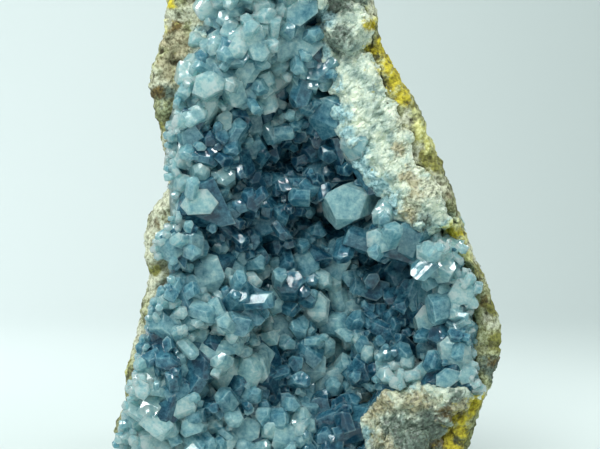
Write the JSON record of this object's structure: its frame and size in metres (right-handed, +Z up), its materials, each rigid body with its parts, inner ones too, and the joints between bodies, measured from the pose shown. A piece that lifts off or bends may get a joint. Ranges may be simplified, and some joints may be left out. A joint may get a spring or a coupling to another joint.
{
  "type": "celestite geode",
  "caption": "Half geode standing upright: a knobbly limestone shell, open at the front, whose hollow is lined with a crust of pale blue celestite crystals.",
  "frame": {"origin": "middle of the geode's box, on the flat base that it stands on", "axes": "+Z up along the geode's length, from the base to the peak; -Y is the way the open hollow faces; +X is to the right seen from the open side"},
  "size_m": [0.1614, 0.1086, 0.245],
  "materials": {
    "limestone": "rough, granular, with ochre stains",
    "celestite": "translucent, glassy crystal faces"
  },
  "bodies": {
    "root": {"limestone_shell": "limestone", "crystal_crust": "celestite"}
  },
  "joints": []
}
